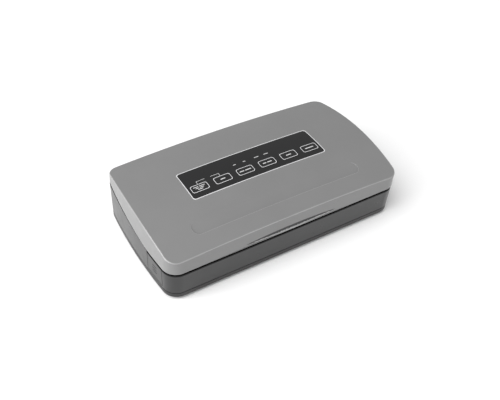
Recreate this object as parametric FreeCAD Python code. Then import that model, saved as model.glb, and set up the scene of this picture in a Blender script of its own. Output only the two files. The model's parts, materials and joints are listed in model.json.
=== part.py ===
import FreeCAD, Part
import os

# Countertop vacuum sealer, millimetres. +X runs along the machine, -Y is its front, +Z is up.
# The origin is under the middle of the whole box, on the surface that the feet stand on.

V = FreeCAD.Vector

# ---------------------------------------------------------------- overall sizes
body_width = 380.0          # widest point of the bulging sides
body_depth = 200.0          # front face to back face, without the hinge knuckles
crown_top = 93.0            # highest point of the lid
foot_height = 4.0           # rubber feet below the bottom cover
wall = 2.5                  # moulded wall of lid, base and covers

# ---------------------------------------------------------------- outer form
side_bulge = 5.8            # how much narrower the outline is at its front and back ends
back_bow = 1.9              # how far the back face bows out in the middle
corner_radius = 21.0        # upright corner edges
crown_corner_radius = 13.0  # the same edges at the top of the lid
base_taper = 1.5            # the base is this much smaller at its bottom, per side
lid_draft = 2.0             # the lid is this much smaller at its top, per side
crown_across = 5.2          # fall of the lid's top from the middle to its left and right sides
crown_along = 13.3          # fall of the lid's top 100 mm in front of or behind its ridge
crown_ridge_y = 14.4        # the ridge of the lid's top
lid_edge_radius = 1.6       # soft edge between the lid's top and its walls
bottom_radius = 2.5         # rounded lower edge of the bottom cover

# ---------------------------------------------------------------- parting line of lid and base
seam_front_z = 50.0
seam_back_z = 69.0
seam_kink = 65.75           # the line is level for this far behind the front face, then it climbs
seam_gap = 2.2
rim_step = 1.4              # front rim of the base steps in under the lid, as deep as it is high
split_groove = 0.8          # line round the joint of base and bottom cover
cover_split_z = 12.5        # joint of bottom cover and base housing
cover_gap = 0.4

# ---------------------------------------------------------------- clearances
running = 0.05              # radial, shaft in a hole
clear = 0.3                 # between pieces that move past each other

# ---------------------------------------------------------------- hinges
knuckle_radius = 4.0
hinge_offset = 1.5          # hinge axis behind the back face
hinge_rise = 1.0            # hinge axis above the parting line
hinge_x = 115.0
hinge_pin_radius = 1.5
lid_knuckle_length = 16.0
base_knuckle_length = 10.0

# ---------------------------------------------------------------- finger scoop in the lid's front wall
scoop_length = 160.0
scoop_radius = 3.8          # of the hollow's round section, at its middle
scoop_set = 0.5             # axis of the hollow in front of the front face
scoop_rise = 4.6            # axis of the hollow above the lid's lower edge

# ---------------------------------------------------------------- finger recess on the lid's top
recess_length = 268.0
recess_front = 25.5         # its front wall, behind the front face
recess_reach = 20.0         # from the front wall to where it runs out
recess_depth = 2.3
recess_corner = 10.0

# ---------------------------------------------------------------- control panel
panel_length = 218.0
panel_depth = 54.6
panel_corner = 4.0
panel_film = 0.5            # printed film on top of the panel frame
panel_lip = 4.0             # flange of the frame under the lid's skin
panel_frame_height = 11.0   # from the lid's highest point to the frame's underside
key_names = ["key_vacuum_seal", "key_seal", "key_food_mode", "key_speed", "key_pulse", "key_canister"]
key_length = 26.5
key_depth = 13.3
key_corner = 3.5
key_pitch = 36.3
key_row_y = -10.5
key_travel = 0.5
key_rise = 0.25             # key tops stand this much above the film
key_flange = 1.2
lens_radius = 0.9
lens_row_y = 11.0
lens_spread = 7.5           # two lenses over a key, this far to each side of its middle
switch_height = 3.2
switch_size = 6.0
board_thickness = 1.6

# ---------------------------------------------------------------- sealing deck
heater_y = 19.75            # middle of the heater bar, behind the front face
heater_width = 9.0
heater_height = 5.0
heater_margin = 38.0        # its ends, in from the sides
tape_thickness = 0.3
wire_width = 2.5
tray_y = 45.25              # middle of the vacuum tray, behind the front face
gasket_width = 35.0         # whole width of the oval gasket
gasket_section = 6.0
gasket_height = 3.5
gasket_margin = 40.0
groove_depth = 1.0
tray_depth = 13.0
tray_wall = 1.5
press_bar_width = 7.0
holder_width = 11.0
liner_rise = 3.0            # underside of the lid liner above the parting line

# ---------------------------------------------------------------- latches and release buttons
button_y = 39.75            # middle of the button, behind the front face
button_length = 36.0
button_bottom_z = 17.0
button_drop = 4.0           # top of the button below the parting line
button_gap = 0.9
button_flange = 1.5
stem_length = 14.5
stem_gap = 0.5              # stem tip to lever, so that the tilted lever still clears it
stem_radius = 2.0
stem_spread = 11.0
stem_rise = 16.0            # stems above the lever's pivot
lever_thickness = 3.0
lever_width = 28.0
lever_pivot_z = 20.0
lever_hub_radius = 4.0
lever_nose = 6.5
nose_height = 3.0
hook_thickness = 2.0
hook_width = 10.0
hook_barb = 1.7
latch_pin_radius = 1.5

# ---------------------------------------------------------------- works inside the base
motor_radius = 14.0
motor_length = 48.0
motor_x = -88.0             # its closed end
works_y = 38.0              # middle line of pump, motor and transformer
pump_length = 30.0
pump_depth = 34.0
crank_radius = 8.0
crank_thickness = 4.0
crank_throw = 3.0
hose_radius = 4.0
hose_bore = 2.2
transformer_length = 54.0
transformer_depth = 40.0
transformer_height = 34.0
transformer_x = 95.0
gland_radius = 6.0
gland_bore = 3.2
gland_length = 9.0
gland_x = 145.0
gland_z = 28.0
foot_radius = 9.0
post_radius = 4.0
screw_radius = 1.5
screw_head_radius = 3.0
screw_head_height = 1.2

# ---------------------------------------------------------------- places worked out from the sizes
knuckle_overhang = hinge_offset + knuckle_radius
front_y = -(body_depth + knuckle_overhang) / 2
back_y = front_y + body_depth
middle_y = (front_y + back_y) / 2
half_width = body_width / 2
kink_y = front_y + seam_kink
seam_slope = (seam_back_z - seam_front_z) / (back_y - kink_y)
hinge_y = back_y + hinge_offset
hinge_z = seam_back_z + hinge_rise
floor_z = foot_height + wall
deck_top = seam_front_z - seam_gap / 2
deck_under = deck_top - wall
lid_bottom = seam_front_z + seam_gap / 2
liner_under = seam_front_z + liner_rise
liner_top = liner_under + wall
frame_under = crown_top - panel_frame_height
key_bottom = frame_under - clear - key_flange
board_top = key_bottom - key_travel - clear - switch_height
big = 2 * body_width


# ---------------------------------------------------------------- shape helpers
def block(x0, x1, y0, y1, z0, z1):
    return Part.makeBox(x1 - x0, y1 - y0, z1 - z0, V(x0, y0, z0))


def rod(radius, start, end):
    axis = end - start
    return Part.makeCylinder(radius, axis.Length, start, axis)


def joined(shapes):
    return shapes[0].multiFuse(shapes[1:]).removeSplitter() if len(shapes) > 1 else shapes[0]


def group(shapes):
    return Part.makeCompound(shapes)


def mirrored(shape):
    return shape.mirror(V(0, 0, 0), V(1, 0, 0))


def rounded_bar(cx, cy, length, depth, radius, z0, z1):
    """Upright bar with a rounded-rectangle section."""
    bar = block(cx - length / 2, cx + length / 2, cy - depth / 2, cy + depth / 2, z0, z1)
    uprights = [e for e in bar.Edges if abs(e.tangentAt(e.FirstParameter).z) > 0.99]
    return bar.makeFillet(min(radius, length / 2 - 0.01, depth / 2 - 0.01), uprights)


def polynomial_poles(height, low, high):
    """Bezier heights of a quadratic between low and high."""
    middle = 2 * height((low + high) / 2) - (height(low) + height(high)) / 2
    return [height(low), middle, height(high)]


def crown_surface(drop, along_extra=None):
    """The lid's double-curved top, lowered by drop and by an extra amount that depends on y."""
    xs = [-body_width, 0.0, body_width]
    ys = [-body_depth, 0.0, body_depth]
    across = polynomial_poles(lambda x: -crown_across * (x / half_width) ** 2, xs[0], xs[2])
    extra = along_extra or (lambda y: 0.0)
    along = polynomial_poles(
        lambda y: -crown_along * ((y - crown_ridge_y) / 100) ** 2 - extra(y), ys[0], ys[2])
    surface = Part.BezierSurface()
    surface.increase(2, 2)
    for i in range(3):
        for j in range(3):
            surface.setPole(i + 1, j + 1, V(xs[i], ys[j], crown_top - drop + across[i] + along[j]))
    return surface.toShape()


def crown_slab(top_drop, bottom_drop):
    """Everything between two lowered copies of the lid's top."""
    return crown_surface(top_drop).extrude(V(0, 0, top_drop - bottom_drop))


def below_crown(drop):
    return crown_slab(drop, drop + big)


def seam_profile(offset, far_z):
    """Solid between the parting line, moved up by offset, and the level far_z."""
    back = 2 * back_y
    corners = [V(-big, 2 * front_y, seam_front_z + offset), V(-big, kink_y, seam_front_z + offset),
               V(-big, back, seam_front_z + offset + seam_slope * (back - kink_y)),
               V(-big, back, far_z), V(-big, 2 * front_y, far_z)]
    return Part.Face(Part.makePolygon(corners + corners[:1])).extrude(V(2 * big, 0, 0))


def above_seam(offset):
    return seam_profile(offset, big)


def below_seam(offset):
    return seam_profile(offset, -big)


def outline(inset, z):
    """Outline of the machine at one level: straight front, bulging sides, bowed back."""
    half = half_width - inset
    front = front_y + inset
    back = back_y - inset
    front_left = V(side_bulge - half, front, z)
    front_right = V(half - side_bulge, front, z)
    back_right = V(half - side_bulge, back - back_bow, z)
    back_left = V(side_bulge - half, back - back_bow, z)
    edges = [Part.makeLine(front_left, front_right),
             Part.Arc(front_right, V(half, middle_y, z), back_right).toShape(),
             Part.Arc(back_right, V(0, back, z), back_left).toShape(),
             Part.Arc(back_left, V(-half, middle_y, z), front_left).toShape()]
    return Part.Wire(edges)


def tapered(low_inset, low_z, high_inset, high_z, low_radius, high_radius):
    """Solid between two outlines, with its four upright edges rounded."""
    solid = Part.makeLoft([outline(low_inset, low_z), outline(high_inset, high_z)], True, True)
    uprights = [e for e in solid.Edges if abs(e.Vertexes[0].Z - e.Vertexes[-1].Z) > 1]
    return solid.makeFillet(low_radius, high_radius, uprights)


def base_form(inset):
    return tapered(base_taper + inset, foot_height, inset, seam_back_z + 5,
                   corner_radius - inset, corner_radius - inset)


def lid_form(inset):
    return tapered(inset, seam_front_z, lid_draft + inset, crown_top + 2,
                   corner_radius - inset, crown_corner_radius - inset)


def side_inner_x(y):
    """Inside face of the base's side wall near its foot."""
    share = (y - middle_y) / (body_depth / 2)
    return half_width - base_taper - side_bulge * share ** 2 - wall


# ---------------------------------------------------------------- hinge
def hinge_cylinders(radius, spans):
    """Cylinders on the hinge axis; each span is measured from a hinge's middle."""
    rods = []
    for side in (-1, 1):
        for low, high in spans:
            rods.append(rod(radius, V(side * hinge_x + low, hinge_y, hinge_z),
                            V(side * hinge_x + high, hinge_y, hinge_z)))
    return rods


half_lid_knuckle = lid_knuckle_length / 2
base_reach = half_lid_knuckle + clear + base_knuckle_length
lid_span = [(-half_lid_knuckle, half_lid_knuckle)]
base_spans = [(-base_reach, -half_lid_knuckle - clear), (half_lid_knuckle + clear, base_reach)]


def wider(spans):
    return [(low - clear, high + clear) for low, high in spans]


def make_hinge_pins():
    reach = base_reach - 1.0
    return group(hinge_cylinders(hinge_pin_radius, [(-reach, reach)]))


# ---------------------------------------------------------------- base
button_mid_y = front_y + button_y
button_front_y = button_mid_y - button_length / 2
button_back_y = button_mid_y + button_length / 2
button_top_z = seam_front_z - button_drop
flange_outer_x = side_inner_x(button_front_y - 2) - clear
flange_inner_x = flange_outer_x - button_flange
lever_outer_x = flange_inner_x - stem_length - stem_gap
lever_inner_x = lever_outer_x - lever_thickness
stem_z = lever_pivot_z + stem_rise
nose_top_z = lever_pivot_z + stem_rise + 8.0
barb_tip_x = lever_outer_x + lever_nose + clear
hook_inner_x = barb_tip_x + hook_barb
hook_outer_x = hook_inner_x + hook_thickness

cover_post_x = half_width - 52
cover_post_spots = [(x, y) for x in (-cover_post_x, 0.0, cover_post_x) for y in (kink_y + 12, back_y - 19)]


def make_base_housing():
    shell = base_form(0).cut(base_form(wall))
    shell = shell.common(block(-big, big, -big, big, cover_split_z + cover_gap / 2, big))
    shell = shell.common(below_seam(-seam_gap / 2))
    step = above_seam(-seam_gap / 2 - rim_step).cut(base_form(rim_step))
    shell = shell.cut(step.common(block(-big, big, -big, button_back_y, 0, big)))
    split = block(-big, big, -big, big, cover_split_z, cover_split_z + split_groove)
    shell = shell.cut(split.cut(base_form(split_groove)))
    window = block(0, big, button_front_y - button_gap, button_back_y + button_gap,
                   button_bottom_z - button_gap, big)
    gland_hole = rod(gland_radius, V(gland_x, back_y - 20, gland_z), V(gland_x, back_y + 20, gland_z))
    lid_notches = hinge_cylinders(knuckle_radius + clear, wider(lid_span))
    shell = shell.cut([window, mirrored(window), gland_hole] + lid_notches)
    bosses = hinge_cylinders(knuckle_radius, base_spans)
    for side in (-1, 1):
        for low, high in base_spans:
            web = block(side * hinge_x + low, side * hinge_x + high, back_y - back_bow,
                        hinge_y + knuckle_radius, hinge_z - 3 * knuckle_radius, seam_back_z - seam_gap)
            bosses.append(web.cut(below_slope_cutter()))
    shell = joined([shell] + bosses)
    return shell.cut(hinge_cylinders(hinge_pin_radius, [(-base_reach, base_reach)]))


def below_slope_cutter():
    """Trims the underside of the hinge bosses to a 45 degree slope that meets the back face."""
    low_z = hinge_z - 3 * knuckle_radius
    reach = knuckle_overhang + back_bow
    corners = [V(-big, back_y - back_bow, low_z), V(-big, back_y - back_bow + reach, low_z + reach),
               V(-big, back_y + 3 * reach, low_z + reach), V(-big, back_y + 3 * reach, low_z - 1),
               V(-big, back_y - back_bow, low_z - 1)]
    return Part.Face(Part.makePolygon(corners + corners[:1])).extrude(V(2 * big, 0, 0))


def make_bottom_cover():
    outer = base_form(0)
    rim = [e for e in outer.Edges if max(v.Z for v in e.Vertexes) < foot_height + 0.01]
    outer = outer.makeFillet(bottom_radius, rim)
    inner = base_form(wall).common(block(-big, big, -big, big, floor_z, big))
    cover = outer.cut(inner)
    cover = cover.common(block(-big, big, -big, big, 0, cover_split_z - cover_gap / 2))
    cuts = []
    for x, y in cover_post_spots:
        cuts.append(rod(screw_radius + 0.2, V(x, y, 0), V(x, y, floor_z + 1)))
        cuts.append(rod(screw_head_radius + 0.3, V(x, y, 0), V(x, y, foot_height + screw_head_height + 0.3)))
    for x, y in foot_spots():
        cuts.append(rod(foot_radius, V(x, y, 0), V(x, y, foot_height + groove_depth)))
    for i in range(9):
        vent_x = transformer_x - 32 + 8 * i
        cuts.append(rounded_bar(vent_x, works_y, 2.4, 44, 1.2, 0, floor_z + 1))
    return cover.cut(cuts)


def foot_spots():
    return [(side * (half_width - 36), y) for side in (-1, 1) for y in (front_y + 30, back_y - 30)]


def make_feet():
    feet = []
    for x, y in foot_spots():
        foot = rod(foot_radius, V(x, y, 0), V(x, y, foot_height + groove_depth))
        lower = [e for e in foot.Edges if e.BoundBox.ZMax < 0.01]
        feet.append(foot.makeFillet(1.0, lower))
    return group(feet)


def make_cover_screws():
    screws = []
    for x, y in cover_post_spots:
        head_top = foot_height + 0.3 + screw_head_height
        head = rod(screw_head_radius, V(x, y, foot_height + 0.3), V(x, y, head_top))
        shank = rod(screw_radius, V(x, y, head_top), V(x, y, floor_z + 12))
        slot = block(x - 2, x + 2, y - 0.4, y + 0.4, 0, foot_height + 0.8)
        cross = block(x - 0.4, x + 0.4, y - 2, y + 2, 0, foot_height + 0.8)
        screws.append(joined([head, shank]).cut([slot, cross]))
    return group(screws)


def gasket_half_length():
    return half_width - gasket_margin


def oval(length, depth, z0, z1):
    return rounded_bar(0, front_y + tray_y, length, depth, depth / 2, z0, z1)


def gasket_ring(z0, z1):
    length = 2 * gasket_half_length()
    hole = oval(length - 2 * gasket_section, gasket_width - 2 * gasket_section, z0 - 1, z1 + 1)
    return oval(length, gasket_width, z0, z1).cut(hole)


tray_length = 2 * (half_width - gasket_margin - gasket_section) - 2 * clear
tray_width = gasket_width - 2 * gasket_section - 2 * clear
heater_half = half_width - heater_margin
heater_mid_y = front_y + heater_y
tray_mid_y = front_y + tray_y
plunger_x = lever_inner_x - 8.5
plunger_radius = 2.0
plunger_travel = 1.5
hook_slot_front = button_mid_y - hook_width / 2 - 3.5
hook_slot_back = button_mid_y + hook_width / 2 + 1.0


def make_work_deck():
    inside = base_form(wall).common(below_seam(-seam_gap / 2))
    deck = inside.common(above_seam(-seam_gap / 2 - wall))
    posts = []
    for x, y in cover_post_spots:
        post = rod(post_radius, V(x, y, floor_z), V(x, y, big / 4)).common(below_seam(-seam_gap / 2 - 1))
        posts.append(post)
    pocket_floor = block(-heater_half - 2, heater_half + 2, heater_mid_y - heater_width / 2 - 2,
                         heater_mid_y + heater_width / 2 + 2, deck_top - heater_height - 2, deck_under + 0.5)
    deck = joined([deck, pocket_floor] + posts)
    cuts = [gasket_ring(deck_top - groove_depth, big / 4),
            oval(tray_length, tray_width, deck_under - 5, big / 4),
            block(-heater_half, heater_half, heater_mid_y - heater_width / 2,
                  heater_mid_y + heater_width / 2, deck_top - heater_height, big / 4)]
    slot = block(barb_tip_x - 1.3, hook_outer_x + 1.0, hook_slot_front, hook_slot_back, 0, big / 4)
    cuts += [slot, mirrored(slot)]
    cuts.append(rod(plunger_radius + clear, V(plunger_x, tray_mid_y, 0), V(plunger_x, tray_mid_y, big / 4)))
    for x, y in cover_post_spots:
        cuts.append(rod(screw_radius, V(x, y, 0), V(x, y, floor_z + 12.5)))
    return deck.cut(cuts)


def make_vacuum_tray():
    top = deck_top
    bottom = deck_top - tray_depth
    outer = oval(tray_length, tray_width, bottom, top)
    inner = oval(tray_length - 2 * tray_wall, tray_width - 2 * tray_wall, bottom + tray_wall, top + 1)
    back = tray_mid_y + tray_width / 2
    spigot = rod(hose_bore, V(hose_x, back - tray_wall, hose_z), V(hose_x, back + 9, hose_z))
    passage = rod(hose_bore - 1.0, V(hose_x, back - 5, hose_z), V(hose_x, back + 12, hose_z))
    return joined([outer.cut(inner), spigot]).cut(passage)


hose_x = motor_x + motor_length + crank_thickness + 6 + pump_length / 2
hose_z = deck_top - tray_depth + tray_wall + 3.0
pump_front_y = works_y - pump_depth / 2


def make_vacuum_hose():
    start = tray_mid_y + tray_width / 2 + 1
    end = pump_front_y - 1
    tube = rod(hose_radius, V(hose_x, start, hose_z), V(hose_x, end, hose_z))
    return tube.cut(rod(hose_bore, V(hose_x, start - 1, hose_z), V(hose_x, end + 1, hose_z)))


def make_lower_gasket():
    base_z = deck_top - groove_depth
    return gasket_ring(base_z, base_z + gasket_height)


def make_heater_bed():
    return block(-heater_half, heater_half, heater_mid_y - heater_width / 2,
                 heater_mid_y + heater_width / 2, deck_top - heater_height, deck_top)


def make_heating_wire():
    return block(-heater_half + 2, heater_half - 2, heater_mid_y - wire_width / 2,
                 heater_mid_y + wire_width / 2, deck_top, deck_top + tape_thickness)


def make_ptfe_tape():
    half = heater_width / 2
    tape = block(-heater_half, heater_half, heater_mid_y - half, heater_mid_y + half,
                 deck_top, deck_top + 2 * tape_thickness)
    return tape.cut(make_heating_wire())


# ---------------------------------------------------------------- release buttons and latches
def make_button():
    body = base_form(0).common(block(flange_inner_x, big, button_front_y, button_back_y,
                                     button_bottom_z, button_top_z))
    flange = block(flange_inner_x, flange_outer_x, button_front_y - 2, button_back_y + 2,
                   button_bottom_z - 1.5, button_top_z)
    stems = []
    for side in (-1, 1):
        y = button_mid_y + side * stem_spread
        stem_start = V(lever_outer_x + stem_gap, y, stem_z)
        stems.append(rod(stem_radius, stem_start, V(flange_inner_x + 0.5, y, stem_z)))
    ribs = []
    for i in range(3):
        rib_z = (button_bottom_z + button_top_z) / 2 - 5 + 5 * i
        ribs.append(block(flange_outer_x, big, button_mid_y - 5, button_mid_y + 5, rib_z - 0.6, rib_z + 0.6))
    grooves = [rib.cut(base_form(0.5)) for rib in ribs]
    return joined([body, flange] + stems).cut(grooves)


def make_lever():
    half = lever_width / 2
    pivot = V(lever_outer_x - lever_thickness / 2, button_mid_y, lever_pivot_z)
    plate = block(lever_inner_x, lever_outer_x, button_mid_y - half, button_mid_y + half,
                  lever_pivot_z, nose_top_z)
    hub = rod(lever_hub_radius, pivot - V(0, half, 0), pivot + V(0, half, 0))
    nose = block(lever_outer_x - 1, lever_outer_x + lever_nose, button_mid_y - hook_width / 2,
                 button_mid_y + hook_width / 2, nose_top_z - nose_height, nose_top_z)
    hole = rod(latch_pin_radius + running, pivot - V(0, half + 1, 0), pivot + V(0, half + 1, 0))
    return joined([plate, hub, nose]).cut(hole)


def make_latch_bracket():
    """Foot plate with two ears that carry a lever's pin."""
    x = lever_outer_x - lever_thickness / 2
    ears = []
    for side in (-1, 1):
        inner = side * (lever_width / 2 + clear)
        outer = side * (lever_width / 2 + clear + 3)
        low, high = sorted((button_mid_y + inner, button_mid_y + outer))
        ears.append(block(x - 5, x + 5, low, high, floor_z, lever_pivot_z + 4))
    reach = lever_width / 2 + clear + 3
    foot = block(x - 8, x + 5, button_mid_y - reach, button_mid_y + reach, floor_z, floor_z + 2)
    hole = rod(latch_pin_radius, V(x, button_mid_y - reach - 1, lever_pivot_z),
               V(x, button_mid_y + reach + 1, lever_pivot_z))
    return joined(ears + [foot]).cut(hole)


def make_latch_pin():
    x = lever_outer_x - lever_thickness / 2
    reach = lever_width / 2 + clear + 3
    return rod(latch_pin_radius, V(x, button_mid_y - reach, lever_pivot_z),
               V(x, button_mid_y + reach, lever_pivot_z))


def make_latch_spring():
    """Leaf spring that stands on the bracket's foot and bears on the lever's inner face."""
    x = lever_inner_x - clear
    lower = block(x - 0.6, x, button_mid_y - 3, button_mid_y + 3, floor_z + 2, lever_pivot_z - 6)
    foot = block(x - 4, x, button_mid_y - 3, button_mid_y + 3, floor_z + 2, floor_z + 2.6)
    bent = block(x - 5.1, x - 4.5, button_mid_y - 3, button_mid_y + 3, lever_pivot_z - 8, stem_z)
    bridge = block(x - 5.1, x, button_mid_y - 3, button_mid_y + 3, lever_pivot_z - 6.6, lever_pivot_z - 6)
    return joined([lower, foot, bent, bridge])


def make_hook():
    half = hook_width / 2
    foot = block(barb_tip_x - 6, hook_outer_x + 1, button_mid_y - half - 2, button_mid_y + half + 2,
                 liner_top, liner_top + 2)
    shank = block(hook_inner_x, hook_outer_x, button_mid_y - half, button_mid_y + half,
                  stem_z - 1.5, liner_top + 1)
    barb = block(barb_tip_x, hook_outer_x, button_mid_y - half, button_mid_y + half,
                 stem_z - 1.5, stem_z + 1.5)
    return joined([foot, shank, barb])


def make_lid_switch():
    top = deck_under
    case = block(plunger_x - 3, plunger_x + 3, tray_mid_y - 10, tray_mid_y + 10, top - 11, top)
    well = rod(plunger_radius + clear, V(plunger_x, tray_mid_y, top - 6), V(plunger_x, tray_mid_y, top + 1))
    legs = [block(plunger_x - 1, plunger_x + 1, tray_mid_y + y - 0.4, tray_mid_y + y + 0.4,
                  top - 15, top - 10)
            for y in (-7, 0, 7)]
    return joined([case] + legs).cut(well)


def make_switch_plunger():
    bottom = deck_under - 6 + plunger_travel + clear
    tip_z = liner_under - 1.6
    plunger = rod(plunger_radius, V(plunger_x, tray_mid_y, bottom), V(plunger_x, tray_mid_y, tip_z))
    tip = [e for e in plunger.Edges if e.BoundBox.ZMin > liner_under - 1.7]
    return plunger.makeFillet(0.8, tip)


# ---------------------------------------------------------------- pump, motor, supply
crank_x = motor_x + motor_length + 2
axis_z = floor_z + motor_radius + 2.5


def make_pump_motor():
    end = motor_x + motor_length
    can = rod(motor_radius, V(motor_x, works_y, axis_z), V(end, works_y, axis_z))
    rims = [e for e in can.Edges if e.BoundBox.XLength < 0.01]
    can = can.makeFillet(1.5, rims)
    nose = rod(5.0, V(end - 1, works_y, axis_z), V(end + 1.7, works_y, axis_z))
    tail = rod(4.0, V(motor_x - 2.5, works_y, axis_z), V(motor_x + 1, works_y, axis_z))
    hole = rod(1.5 + running, V(end - 8, works_y, axis_z), V(end + 3, works_y, axis_z))
    return joined([can, nose, tail]).cut(hole)


def make_motor_mount():
    """Two cradles on a foot plate that carry the motor's can."""
    parts = [block(motor_x + 4, motor_x + motor_length - 4, works_y - 17, works_y + 17, floor_z, floor_z + 2)]
    for x in (motor_x + 6, motor_x + motor_length - 12):
        parts.append(block(x, x + 6, works_y - 15, works_y + 15, floor_z, axis_z - 2))
    cradle = rod(motor_radius, V(motor_x, works_y, axis_z), V(motor_x + motor_length, works_y, axis_z))
    return joined(parts).cut(cradle)


def make_pump_crank():
    end = motor_x + motor_length
    shaft = rod(1.5, V(end - 7, works_y, axis_z), V(crank_x + 1, works_y, axis_z))
    disc = rod(crank_radius, V(crank_x, works_y, axis_z), V(crank_x + crank_thickness, works_y, axis_z))
    pin = rod(1.5, V(crank_x + crank_thickness - 1, works_y, axis_z + crank_throw),
              V(crank_x + crank_thickness + 6, works_y, axis_z + crank_throw))
    weight_z = axis_z - 4.5
    weight = rod(2.5, V(crank_x + 1, works_y, weight_z), V(crank_x + crank_thickness + 1, works_y, weight_z))
    return joined([shaft, disc, pin, weight])


def make_pump_head():
    x0 = hose_x - pump_length / 2
    x1 = hose_x + pump_length / 2
    case = block(x0, x1, works_y - pump_depth / 2, works_y + pump_depth / 2, floor_z, hose_z + hose_radius)
    uprights = [e for e in case.Edges if e.BoundBox.ZLength > 10 and e.BoundBox.XLength < 0.01]
    case = case.makeFillet(3.0, uprights)
    well = rod(crank_radius, V(x0 - 1, works_y, axis_z), V(x0 + 8, works_y, axis_z))
    spigot = rod(hose_bore, V(hose_x, pump_front_y - 9, hose_z), V(hose_x, pump_front_y + 2, hose_z))
    passage = rod(hose_bore - 1.0, V(hose_x, pump_front_y - 10, hose_z), V(hose_x, pump_front_y + 6, hose_z))
    return joined([case, spigot]).cut([well, passage])


def make_transformer_core():
    x0 = transformer_x - transformer_length / 2
    x1 = transformer_x + transformer_length / 2
    y0 = works_y - transformer_depth / 2
    y1 = works_y + transformer_depth / 2
    core = block(x0, x1, y0 + 9, y1 - 9, floor_z, floor_z + transformer_height)
    windows = [block(x0 + 9, x0 + 18, y0, y1, floor_z + 8, floor_z + transformer_height - 8),
               block(x1 - 18, x1 - 9, y0, y1, floor_z + 8, floor_z + transformer_height - 8)]
    return core.cut(windows)


def make_transformer_winding():
    x0 = transformer_x - transformer_length / 2 + 9
    x1 = transformer_x + transformer_length / 2 - 9
    y0 = works_y - transformer_depth / 2
    y1 = works_y + transformer_depth / 2
    z0 = floor_z + 8
    z1 = floor_z + transformer_height - 8
    coil = rounded_bar(transformer_x, works_y, x1 - x0, y1 - y0, 8.0, z0, z1)
    return coil.cut(block(x0 + 9, x1 - 9, y0 + 9, y1 - 9, z0 - 1, z1 + 1))


board_x = 35.0
board_spots = [(board_x + dx, works_y + dy) for dx in (-19, 19) for dy in (-22, 22)]


def make_power_board():
    bottom = floor_z + 5
    board = block(board_x - 23, board_x + 23, works_y - 26, works_y + 26, bottom, bottom + board_thickness)
    stands = [rod(3.0, V(x, y, floor_z), V(x, y, bottom + 0.2)) for x, y in board_spots]
    return joined([board] + stands)


def make_board_parts():
    """Relay, capacitors, terminal block and heat sink on the power board."""
    z = floor_z + 5 + board_thickness
    relay = block(board_x - 19, board_x + 1, works_y - 20, works_y - 5, z, z + 15)
    sink = block(board_x + 6, board_x + 18, works_y - 4, works_y + 2, z, z + 18)
    terminal = block(board_x - 18, board_x + 2, works_y + 14, works_y + 23, z, z + 10)
    tall = rod(6.0, V(board_x + 13, works_y - 15, z), V(board_x + 13, works_y - 15, z + 20))
    short = rod(4.0, V(board_x + 12, works_y + 16, z), V(board_x + 12, works_y + 16, z + 12))
    return group([relay, sink, terminal, tall, short])


def make_cord_gland():
    outer = V(gland_x, gland_outer_y, gland_z)
    inner = V(gland_x, gland_outer_y - gland_length, gland_z)
    sleeve = rod(gland_radius, inner, outer)
    flange = rod(gland_radius + 2, outer - V(0, 2, 0), outer)
    return joined([sleeve, flange]).cut(rod(gland_bore, inner - V(0, 1, 0), outer + V(0, 1, 0)))


gland_outer_y = back_y + 1.5


# ---------------------------------------------------------------- lid
lid_post_x = half_width - 50
lid_post_spots = [(x, y) for x in (-lid_post_x, 0.0, lid_post_x) for y in (kink_y + 0.5, back_y - 22)]


def recess_cutter(drop):
    """Space over the finger recess: deepest at its front wall, running out towards the back."""
    start = front_y + recess_front
    end = start + recess_reach

    def depth(y):
        return recess_depth * (end - y) / recess_reach

    over = crown_surface(drop, depth).extrude(V(0, 0, big))
    return over.common(rounded_bar(0, (start + end) / 2, recess_length, recess_reach, recess_corner, 0, big))


def scoop_spindle(grow):
    """Long shallow spindle across the lid's front wall, made larger all round by grow."""
    half = scoop_length / 2 + grow
    left = V(-half, 0, 0)
    right = V(half, 0, 0)
    arc = Part.Arc(left, V(0, 0, scoop_radius + grow), right).toShape()
    spindle = Part.Face(Part.Wire([arc, Part.makeLine(right, left)])).revolve(V(0, 0, 0), V(1, 0, 0), 360)
    spindle.translate(V(0, front_y - scoop_set, lid_bottom + scoop_rise))
    return spindle


def make_lid_shell():
    outer = lid_form(0).common(below_crown(0))
    rim = [e for e in outer.Edges if e.BoundBox.ZMin > lid_bottom + 5 and e.BoundBox.ZLength < 20]
    outer = outer.makeFillet(lid_edge_radius, rim)
    outer = outer.common(above_seam(seam_gap / 2))
    cavity = lid_form(wall).common(below_crown(wall)).cut(recess_cutter(wall))
    cavity = cavity.cut(scoop_spindle(wall))
    shell = outer.cut([cavity, recess_cutter(0), scoop_spindle(0)])
    base_knuckle_room = hinge_cylinders(knuckle_radius + clear, wider(base_spans))
    shell = shell.cut([panel_bar(0.15, frame_under - 5, big)] + base_knuckle_room)
    posts = []
    for x, y in lid_post_spots:
        post = rod(post_radius, V(x, y, 0), V(x, y, big))
        posts.append(post.common(below_crown(1)).common(above_seam(liner_rise + wall)))
    shell = joined([shell] + hinge_cylinders(knuckle_radius, lid_span) + posts)
    bores = []
    for x, y in lid_post_spots:
        bores.append(rod(screw_radius, V(x, y, 0), V(x, y, seam_height(y) + liner_rise + 12)))
    return shell.cut(bores + hinge_cylinders(hinge_pin_radius + running, wider(lid_span)))


def seam_height(y):
    return seam_front_z + max(0.0, y - kink_y) * seam_slope


def panel_bar(grow, z0, z1):
    return rounded_bar(0, 0, panel_length + 2 * grow, panel_depth + 2 * grow, panel_corner + grow, z0, z1)


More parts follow.
